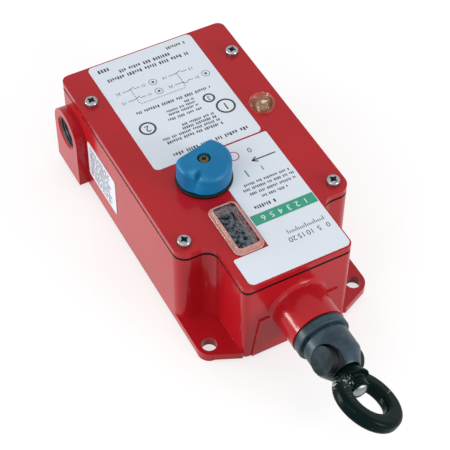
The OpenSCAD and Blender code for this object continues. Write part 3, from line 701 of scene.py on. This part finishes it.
# Head and shank, the seat of the head at z = 0
def screwShape(setup, r, h, shank, length):
    crown, wall = setup["crown"], setup["wall"]
    points = [(0, -length), (shank * setup["tip"], -length),
              (shank, -length + shank * setup["chamfer"]), (shank, 0),
              (r * setup["seat"], 0), (r, h * setup["lip"]), (r, h * wall)]
    points += [(r * (1 - crown + crown * math.cos(a)), h * (wall + (1 - wall) * math.sin(a)))
               for a in setup["crownAt"]]
    points.append((0, h))
    return cutFrom(lathe(points), crossRecess(recessSetup, r, h))


# Shares of the head's radius and height, then the reach and heights below the top of the dark zone
# of painted shade and dirt
recessSetup = {"steps": 48, "reach": 0.7, "core": 0.38, "wing": 0.26, "sharp": 3,
               "floor": 0.34, "flare": 1.5, "lift": 0.8,
               "darkReach": 0.66, "bottom": 2.2 * mm, "mouth": 0.3 * mm, "deep": 0.9 * mm}


# Cross recess with four wings, wider at its mouth
def crossRecess(setup, r, h):
    bm = bmesh.new()
    floor = bmesh.ops.create_circle(
        bm, cap_ends=True, radius=r * setup["reach"], segments=setup["steps"])["verts"]
    for vert in floor:
        turn = math.atan2(vert.co.y, vert.co.x)
        wing = abs(math.cos(2 * turn)) ** setup["sharp"]
        vert.co = vert.co * (setup["core"] + setup["wing"] * wing)
        vert.co.z = h * setup["floor"]
    lifted = bmesh.ops.extrude_face_region(bm, geom=bm.faces[:])
    mouth = [v for v in lifted["geom"] if isinstance(v, bmesh.types.BMVert)]
    bmesh.ops.scale(bm, vec=(setup["flare"], setup["flare"], 1), verts=mouth)
    bmesh.ops.translate(bm, verts=mouth, vec=(0, 0, h * setup["lift"]))
    bmesh.ops.recalc_face_normals(bm, faces=bm.faces)
    return bm


# The recess is painted dark: painted shade and dirt
def darkenRecess(setup, piece, places, radius, top):
    piece.data.materials.append(finishes["darkInkAndShade"])
    for face in piece.data.polygons:
        at = face.center
        near = min(math.hypot(at.x - x, at.y - y) for x, y in places)
        within = top - setup["bottom"] < at.z < top - setup["mouth"]
        steep = abs(face.normal.z) < 0.97
        if near < radius * setup["darkReach"] and within and (steep or at.z < top - setup["deep"]):
            face.material_index = 1


def makeScrews(name, node, finish, headHeight, shank, turns):
    bm, places = bmesh.new(), []
    for (low, high), turn in zip(sorted(solidsOf(node), key=lambda b: tuple(b[0])), turns):
        x, y, seat = (low.x + high.x) / 2, (low.y + high.y) / 2, high.z - headHeight
        radius = (high.x - low.x) / 2
        shape = screwShape(screwSetup, radius, headHeight, shank, seat - low.z)
        absorb(bm, shape, Matrix.Translation((x, y, seat)) @ Matrix.Rotation(turn, 4, "Z"))
        places.append((x, y))
    smoothByAngle(bm)
    piece = addPiece(name, bm, finish, node, replace=True)
    darkenRecess(recessSetup, piece, places, radius, high.z)


makeScrews("coverScrewSet", "cover_screws", "steel", 2.8 * mm, 2 * mm, (0.2, 0.7, 0.4, 0.9))
makeScrews("gripScrew", "knob_screw", "oldBrass", 2 * mm, 1.5 * mm, (0.3,))
print("screws made")

# The eye nut: a forging, its ring flowing into the neck
eyeSetup = {"grain": 0.42 * mm, "passes": 5, "strength": 0.5}


def makeEye(setup):
    piece = addPiece("eyeForging", copyOf("eye_nut"), "cast", "eye_nut", replace=True)
    skin = addSkin(piece, setup["grain"])
    skin.use_smooth_shade = True
    addFlow(piece, setup["passes"], setup["strength"])


makeEye(eyeSetup)

# The boot: the crescents beside its round bosses get painted shade, the bosses' faces a darker
# rubber that is painted shade too, and the far boss stands lower
bootSetup = {"turn": -56.5, "setback": 19.5 * mm, "boss": 7.2 * mm, "pocket": 8.2 * mm,
             "shift": 1 * mm, "near": 0.06 * mm, "face": 11 * mm, "ease": 0.45 * mm,
             "sink": 1.6 * mm}


def makeBoot(setup):
    shell = eased("bootShell", "boot", "boot", setup["ease"])
    for name in ("bootShade", "bootEarShade"):
        shell.data.materials.append(finishes[name])
    middle = Vector((eyeCentre.x, bootBack - setup["setback"], eyeCentre.z))
    shift, pocket = setup["shift"], setup["pocket"] + setup["near"]
    inBoss, outBoss = setup["boss"] - setup["near"], setup["boss"] + setup["near"]
    for side in (0, 180):
        turn = Matrix.Rotation(math.radians(setup["turn"] + side), 4, "Y")
        place = Matrix.Translation(middle) @ turn
        local = [place.inverted() @ vert.co for vert in shell.data.vertices]
        shadedHollow = [at.z > 0 and math.hypot(at.x - shift, at.y + shift) < pocket
                  and math.hypot(at.x, at.y) > inBoss for at in local]
        ear = [at.z > setup["face"] and math.hypot(at.x, at.y) < outBoss for at in local]
        sink = place.to_3x3() @ Vector((0, 0, setup["sink"] * (side > 0)))
        for vert, top in zip(shell.data.vertices, ear):
            if top:
                vert.co -= sink
        for face in shell.data.polygons:
            if all(ear[k] for k in face.vertices):
                face.material_index = 2
            elif all(shadedHollow[k] for k in face.vertices):
                face.material_index = 1


makeBoot(bootSetup)
print("boot made")

# Thread in the conduit entry, its roots just inside the bore's wall; its metal is darkened as
# painted shade inside the bore
entry = mountNamed("conduit_entry")
entrySetup = {"pitch": 1.5 * mm, "depth": 0.65 * mm, "clear": 0.02 * mm, "root": 0.1 * mm,
              "land": 0.05 * mm, "steps": 64}


def makeEntryThread(setup):
    r = entry["dims"]["r_mm"] * mm - setup["clear"]
    length = entry["dims"]["length_mm"] * mm
    pitch, root = setup["pitch"], r - setup["root"]
    turns = int(length / pitch)
    points = [(r, 0)]
    for k in range(turns):
        z = k * pitch
        points += [(root, z + setup["land"]), (r - setup["depth"], z + pitch * 0.5)]
    points += [(root, turns * pitch), (r, length)]
    bm = lathe(points, setup["steps"])
    middle = Vector(entry["pos_m"]) + Vector((length / 2, 0, 0))
    place = Matrix.Translation(middle) @ Matrix.Rotation(-math.pi / 2, 4, "Y")
    bmesh.ops.transform(bm, matrix=place, verts=bm.verts)
    smoothByAngle(bm)
    addPiece("entryThread", bm, "threadShaded", "housing")


makeEntryThread(entrySetup)
print("eye and thread made")

# Printing on the labels: bars for lines of small type, plain numbers and usual switch symbols.
# Letters and their gaps are shares of the line's height.
printSetup = {"lift": 0.03 * mm, "letter": 0.4, "uneven": (0.7, 1.2), "heads": (0.5, 0.5, 0.25),
              "gap": 0.26, "space": 0.62, "word": (3, 8), "numberSize": 1.38}


def typeLine(bm, x0, x1, y, height, top, rng):
    setup, x = printSetup, x0
    letters = rng.randint(*setup["word"])
    while x < x1 - height * setup["letter"]:
        wide = height * setup["letter"] * rng.uniform(*setup["uneven"])
        head = y - height * rng.choice(setup["heads"])
        block(bm, (x, head, top), (x + wide, y + height / 2, top + setup["lift"]))
        x += wide + height * setup["gap"]
        letters -= 1
        if letters <= 0:
            x += height * setup["space"]
            letters = rng.randint(*setup["word"])


def stroke(bm, start, end, width, top):
    a, b = Vector(start), Vector(end)
    along = b - a
    verts = block(bm, (0, -width / 2, top), (along.length, width / 2, top + printSetup["lift"]))
    turn = Matrix.Rotation(math.atan2(along.y, along.x), 4, "Z")
    bmesh.ops.transform(bm, matrix=Matrix.Translation((a.x, a.y, 0)) @ turn, verts=verts)


def ring(bm, x, y, radius, width, top):
    inner, outer, lift = radius - width / 2, radius + width / 2, printSetup["lift"]
    part = lathe([(inner, 0), (outer, 0), (outer, lift), (inner, lift)], 40)
    absorb(bm, part, Matrix.Translation((x, y, top)))


def dot(bm, x, y, radius, top):
    lift = printSetup["lift"]
    part = lathe([(0, 0), (radius, 0), (radius, lift), (0, lift)], 20)
    absorb(bm, part, Matrix.Translation((x, y, top)))


# A number whose foot points to the rear, as the rest of the printing
def number(bm, value, x, y, height, top):
    curve = bpy.data.curves.new("number", "FONT")
    curve.body = value
    curve.size = height * printSetup["numberSize"]
    curve.align_x, curve.align_y = "CENTER", "CENTER"
    curve.extrude = printSetup["lift"] / 2
    text = inScene("number", curve)
    part = bmesh.new()
    part.from_mesh(bpy.data.meshes.new_from_object(text))
    bpy.data.objects.remove(text)
    place = Matrix.Translation((x, y, top + printSetup["lift"] / 2))
    absorb(bm, part, place @ Matrix.Rotation(math.pi, 4, "Z"))


# Places are millimetres from the label's left front corner
upperSetup = {
    # left, right, middle and height of each line of type
    "lines": (
        (4.3, 12.3, 80, 2.6), (46.3, 58.6, 80, 2.1), (15.3, 47.3, 75.5, 2.3),
        (6.3, 56.3, 71.3, 2.4), (9.3, 54.3, 41.8, 2), (36.3, 42.3, 38.2, 1.5),
        (24.3, 42.3, 35.6, 1.5), (24.3, 42.3, 33, 1.5), (22.3, 42.3, 29.6, 1.8),
        (27.3, 47.3, 23.2, 1.7), (26.3, 47.3, 20.6, 1.7), (13.3, 47.3, 17.8, 1.7),
        (14.3, 48.3, 14.8, 1.9), (13.3, 58.3, 5.6, 2.4)),
    # contact diagram: each row's place, its numbers and the way its right arm leans
    "rows": ((59.6, ("22", "21", "14", "13"), 1), (51.9, ("12", "11", "32", "31"), -1)),
    "numbers": (7, 22, 35, 51), "tall": 2,
    "leads": ((9.4, 13), (16.4, 19.8), (37.4, 41.4), (45, 48.6)),
    "arms": (13, 41.4), "arm": (3.8, 1.4), "line": 0.36,
    "target": 27.8, "endTarget": (56.6, 52.3), "rings": (2.2, 0.3), "dot": 0.8,
    # dashed lines: start, count and 1 for across
    "dashed": ((14.4, 48.4, 7, 0), (42.4, 48.4, 7, 0), (14.9, 47.6, 16, 1)),
    "dash": 1.1, "step": 1.7,
}


def makeUpperPrint(setup):
    rng = random.Random(7)
    low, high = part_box("upper_label")
    bm = bmesh.new()
    top = high.z
    thin = setup["line"] * mm

    def at(x, y):
        return (low.x + x * mm, low.y + y * mm)

    def target(x, y):
        radius, width = setup["rings"]
        ring(bm, *at(x, y), radius * mm, width * mm, top)
        dot(bm, *at(x, y), setup["dot"] * mm, top)

    for left, right, y, height in setup["lines"]:
        start, middle = at(left, y)
        typeLine(bm, start, at(right, y)[0], middle, height * mm, top, rng)
    long, tall = setup["arm"]
    for y, numbers, lean in setup["rows"]:
        for value, x in zip(numbers, setup["numbers"]):
            number(bm, value, *at(x, y), setup["tall"] * mm, top)
        for a, b in setup["leads"]:
            stroke(bm, at(a, y), at(b, y), thin, top)
        for x, way in zip(setup["arms"], (1, lean)):
            stroke(bm, at(x, y), at(x + long, y + way * tall), thin, top)
        target(setup["target"], y)
    target(*setup["endTarget"])
    for x, y, count, across in setup["dashed"]:
        for k in range(count):
            shift = k * setup["step"]
            a, b = at(x + shift * across, y + shift * (1 - across))
            dash = setup["dash"] * mm
            stroke(bm, (a, b), (a + dash * across, b + dash * (1 - across)), thin, top)
    addPiece("upperPrint", bm, "ink", "upper_label")


# Number, place and radius of each ring, and the rings' width, in millimetres
calloutSetup = {"rings": (("1", 54.6, 25.1, 4.9), ("2", 9.8, 29.3, 4.2), ("3", 49.3, 34.6, 2.9)),
                "width": 1.1, "numberShare": 1.1}


def makeCallouts(setup):
    low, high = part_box("upper_label")
    bm = bmesh.new()
    for value, x, y, r in setup["rings"]:
        at = (low.x + x * mm, low.y + y * mm)
        ring(bm, *at, r * mm, setup["width"] * mm, high.z)
        number(bm, value, *at, r * setup["numberShare"] * mm, high.z)
    addPiece("calloutPrint", bm, "darkInkAndShade", "upper_label")


# Millimetres in from the label's right edge and up from its front edge
lowerSetup = {
    # left, right, middle and height of each line of type
    "lines": ((29, 2, 58, 1.6), (31, 1, 55, 1.6), (29, 2, 51.6, 1.6), (24, 9, 48, 1.6),
              (31.4, 18.8, 42.6, 2.2)),
    "marks": (("0", 14.5, 79.2), ("1", 14.5, 65.3)), "tall": 3.4,
    # arrow that shows the way to turn the knob
    "tip": 16.6, "tail": 3, "arrowAt": 71.7, "line": 0.8, "barb": (0.3, 2.6, 1.7),
    # plain scale with numbers at every fifth mark
    "scaleFrom": 4, "step": 1.02, "marksCount": 21, "scaleAt": 20, "tick": 1.5, "fifth": 2.8,
    "tickLine": 0.4, "numbersAt": 16.4, "scaleTall": 3.2,
}


def makeLowerPrint(setup):
    rng = random.Random(11)
    low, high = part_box("lower_label")
    top = high.z
    bm = bmesh.new()

    def at(x, y):
        return (high.x - x * mm, low.y + y * mm)

    for left, right, y, height in setup["lines"]:
        start, middle = at(left, y)
        typeLine(bm, start, at(right, y)[0], middle, height * mm, top, rng)
    for value, x, y in setup["marks"]:
        number(bm, value, *at(x, y), setup["tall"] * mm, top)
    tip, y = at(setup["tip"], setup["arrowAt"])
    line = setup["line"] * mm
    stroke(bm, at(setup["tail"], setup["arrowAt"]), (tip, y), line, top)
    past, back, side = (value * mm for value in setup["barb"])
    for way in (-1, 1):
        stroke(bm, (tip - past, y), (tip + back, y + way * side), line, top)
    for k in range(setup["marksCount"]):
        across = setup["scaleFrom"] + k * setup["step"]
        x, y = at(across, setup["scaleAt"])
        tall = setup["tick" if k % 5 else "fifth"] * mm
        stroke(bm, (x, y), (x, y + tall), setup["tickLine"] * mm, top)
        if k % 5 == 0:
            number(bm, str(k), *at(across, setup["numbersAt"]), setup["scaleTall"] * mm, top)
    addPiece("lowerPrint", bm, "ink", "lower_label")


# The green band beside the window, with its numbers
bandSetup = {"edge": 0.4 * mm, "gap": 1.2 * mm, "front": 31.8 * mm, "back": 38.7 * mm,
             "thick": 0.02 * mm, "count": 6, "first": 5.6 * mm, "step": 4.9 * mm,
             "tall": 3.6 * mm}


def makeBand(setup):
    low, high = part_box("lower_label")
    x0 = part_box("window_lens")[1].x + setup["gap"]
    x1 = high.x - setup["edge"]
    y0, y1 = low.y + setup["front"], low.y + setup["back"]
    top = high.z + setup["thick"]
    bm = bmesh.new()
    block(bm, (x0, y0, high.z), (x1, y1, top))
    addPiece("tensionBand", bm, "bandGreen", "lower_label")
    bm = bmesh.new()
    for k in range(setup["count"]):
        x = x1 - (setup["first"] + k * setup["step"])
        number(bm, str(k + 1), x, (y0 + y1) / 2, setup["tall"], top)
    addPiece("bandNumbers", bm, "pale", "lower_label")


# A ring round the 0 and a bar beside the 1, placed as the lower print is
symbolSetup = {"ring": (24, 79), "radius": 2.9 * mm, "line": 0.55 * mm,
               "bar": (23.6, 62.6, 67.6), "half": 0.4 * mm}


def makeSymbols(setup):
    low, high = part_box("lower_label")
    bm = bmesh.new()
    x, y = setup["ring"]
    ring(bm, high.x - x * mm, low.y + y * mm, setup["radius"], setup["line"], high.z)
    addPiece("offSymbol", bm, "ringRed", "lower_label")
    bm = bmesh.new()
    x, front, back = setup["bar"]
    x = high.x - x * mm
    block(bm, (x - setup["half"], low.y + front * mm, high.z),
          (x + setup["half"], low.y + back * mm, high.z + printSetup["lift"]))
    addPiece("onSymbol", bm, "bandGreen", "lower_label")


# Rows of type on the side label, in millimetres
sideSetup = {"rows": 9, "first": 23, "step": 2.5, "left": 3, "right": 31.5, "ragged": 5,
             "tall": 1.7}


def makeSidePrint(setup):
    rng = random.Random(5)
    low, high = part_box("side_label")
    bm = bmesh.new()
    for k in range(setup["rows"]):
        y = (setup["first"] - k * setup["step"]) * mm
        end = (setup["right"] - rng.uniform(0, setup["ragged"])) * mm
        typeLine(bm, setup["left"] * mm, end, y, setup["tall"] * mm, 0, rng)
    # rows laid on the left wall, read from the left
    place = Matrix.Translation((low.x, high.y, low.z)) @ Matrix(
        ((0, 0, -1, 0), (-1, 0, 0, 0), (0, 1, 0, 0), (0, 0, 0, 1)))
    bmesh.ops.transform(bm, matrix=place, verts=bm.verts)
    addPiece("sidePrint", bm, "darkInkAndShade", "side_label")


makeUpperPrint(upperSetup)
makeCallouts(calloutSetup)
makeLowerPrint(lowerSetup)
makeBand(bandSetup)
makeSymbols(symbolSetup)
makeSidePrint(sideSetup)
print("labels printed")

# Camera, lights and floor

# Angles in degrees, the lens and sensor in mm
cameraSetup = {
    "azimuth": -28.84, "elevation": 50.015, "roll": 0.811, "lens": 113.17, "sensor": 36,
    "place": (-0.23935, -0.37107, 0.60164),
}


def makeCamera(setup):
    azimuth, elevation, roll = (math.radians(setup[k]) for k in ("azimuth", "elevation", "roll"))
    flat = math.cos(elevation)
    back = Vector((math.sin(azimuth) * flat, -math.cos(azimuth) * flat, math.sin(elevation)))
    right = Vector((0, 0, 1)).cross(back).normalized()
    up = back.cross(right)
    turned = right * math.cos(roll) + up * math.sin(roll)
    data = bpy.data.cameras.new("camera")
    data.lens = setup["lens"]
    data.sensor_width = setup["sensor"]
    camera = inScene("camera", data)
    basis = Matrix((turned, back.cross(turned), back)).transposed().to_4x4()
    camera.matrix_world = Matrix.Translation(setup["place"]) @ basis
    bpy.context.scene.camera = camera


makeCamera(cameraSetup)

lampSetup = [
    # name, place, aim, size, power
    ("key", (-0.8, -0.25, 0.58), (0, 0.05, 0.03), (0.6, 0.6), 2.5),
    ("front", (0.55, -0.8, 0.36), (0, 0.05, 0.03), (0.4, 0.4), 5.2),
    ("side", (-0.95, 0.6, 0.1), (0, -0.02, 0.03), (0.46, 0.22), 6.6),
]


def makeLamps(setup):
    for name, place, aim, size, power in setup:
        data = bpy.data.lights.new(name, "AREA")
        data.shape = "RECTANGLE"
        data.size, data.size_y = size
        data.energy = power
        lamp = inScene(name, data)
        lamp.location = place
        lamp.rotation_mode = "QUATERNION"
        lamp.rotation_quaternion = (Vector(aim) - Vector(place)).to_track_quat("-Z", "Y")


makeLamps(lampSetup)


# 1 for rays of a kind, as wires
def raysOf(tree, kinds):
    path = tree.nodes.new("ShaderNodeLightPath")
    return [Wire(tree, path.outputs["Is " + kind + " Ray"]) for kind in kinds]


# White light all round, at one strength on the object and another where it is seen or mirrored
worldSetup = {"fill": 0.72, "seen": 1.0}


def makeWorld(setup):
    world = bpy.data.worlds.new("studio")
    bpy.context.scene.world = world
    world.use_nodes = True
    tree = world.node_tree
    tree.nodes.clear()
    direct, mirrored, through = raysOf(tree, ("Camera", "Glossy", "Transmission"))
    mix = tree.nodes.new("ShaderNodeMixShader")
    out = tree.nodes.new("ShaderNodeOutputWorld")
    seen = direct.maths("MAXIMUM", mirrored).maths("MAXIMUM", through)
    plug(tree, mix.inputs[0], seen)
    for place, strength in enumerate((setup["fill"], setup["seen"]), 1):
        background = tree.nodes.new("ShaderNodeBackground")
        background.inputs["Strength"].default_value = strength
        background.inputs["Color"].default_value = (1, 1, 1, 1)
        tree.links.new(background.outputs[0], mix.inputs[place])
    tree.links.new(mix.outputs[0], out.inputs[0])


makeWorld(worldSetup)

floorSetup = {"reach": 6.0, "cloth": 0.42, "rough": 0.9, "glow": 0.62, "mirrored": 0.55}


def makeFloor(setup):
    bm = bmesh.new()
    bmesh.ops.create_grid(bm, x_segments=1, y_segments=1, size=setup["reach"])
    floor = meshInScene("floor", bm)
    f = Finish("floorPaper")
    direct, mirrored, through = raysOf(f.tree, ("Camera", "Glossy", "Transmission"))
    seen = direct.maths("MAXIMUM", through) * setup["glow"]
    seen = seen.maths("MAXIMUM", mirrored * setup["mirrored"])
    f.surface(Base_Color=(setup["cloth"],) * 3, Roughness=setup["rough"],
              Emission_Strength=1.0, Emission_Color=seen)
    floor.data.materials.append(f.material)


makeFloor(floorSetup)
bpy.context.scene.view_settings.view_transform = "Standard"
print("studio ready")
